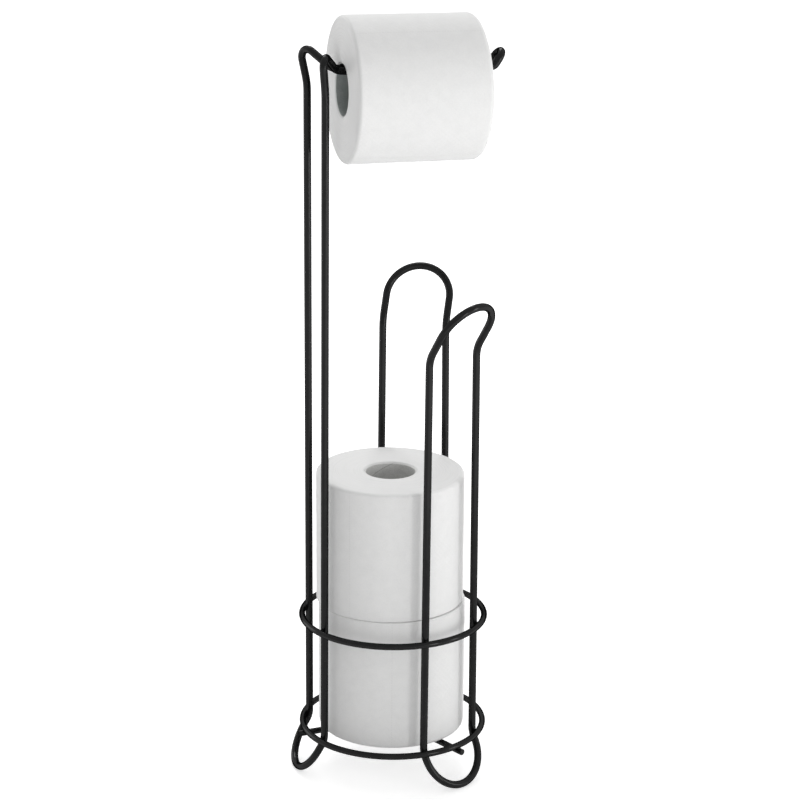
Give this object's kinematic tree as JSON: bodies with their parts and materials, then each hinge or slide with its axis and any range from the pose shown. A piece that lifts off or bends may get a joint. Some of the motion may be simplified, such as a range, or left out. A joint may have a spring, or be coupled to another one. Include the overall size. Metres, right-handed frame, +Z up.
{
  "type": "toilet roll storage holder",
  "caption": "Free-standing toilet roll stand bent from round black wire: a tall stem whose arm holds a roll in use, above a ringed well that stores spare rolls.",
  "frame": {"origin": "on the floor, under the middle of the stand's box", "axes": "+Z up, +X along the arm towards its upturned end, away from the stem; the stand is alike on both sides of the plane Y = 0"},
  "size_m": [0.1793, 0.1788, 0.6425],
  "materials": {
    "coated_wire": "satin",
    "tissue_paper": "matte",
    "tube_card": "matte"
  },
  "bodies": {
    "stand": {"stem_wire": "coated_wire", "front_leg_loop": "coated_wire", "back_leg_loop": "coated_wire", "lower_ring": "coated_wire", "upper_ring": "coated_wire", "stem_base_wire": "coated_wire", "front_base_wire": "coated_wire", "back_base_wire": "coated_wire"},
    "hanging_roll": {"hanging_roll_paper": "tissue_paper", "hanging_roll_core": "tube_card"},
    "lower_spare_roll": {"lower_spare_paper": "tissue_paper", "lower_spare_core": "tube_card"},
    "upper_spare_roll": {"upper_spare_paper": "tissue_paper", "upper_spare_core": "tube_card"}
  },
  "joints": [
    {"name": "hanging_roll_spin", "type": "hinge", "parent": "stand", "child": "hanging_roll", "pos_m": [0.00908, 0, 0.58297], "axis": [1, 0, 0], "continuous": true},
    {"name": "lower_spare_lift", "type": "slide", "parent": "stand", "child": "lower_spare_roll", "axis": [0, 0, 1], "range_m": [0, 0.12]},
    {"name": "upper_spare_lift", "type": "slide", "parent": "lower_spare_roll", "child": "upper_spare_roll", "axis": [0, 0, 1], "range_m": [0, 0.14]}
  ]
}
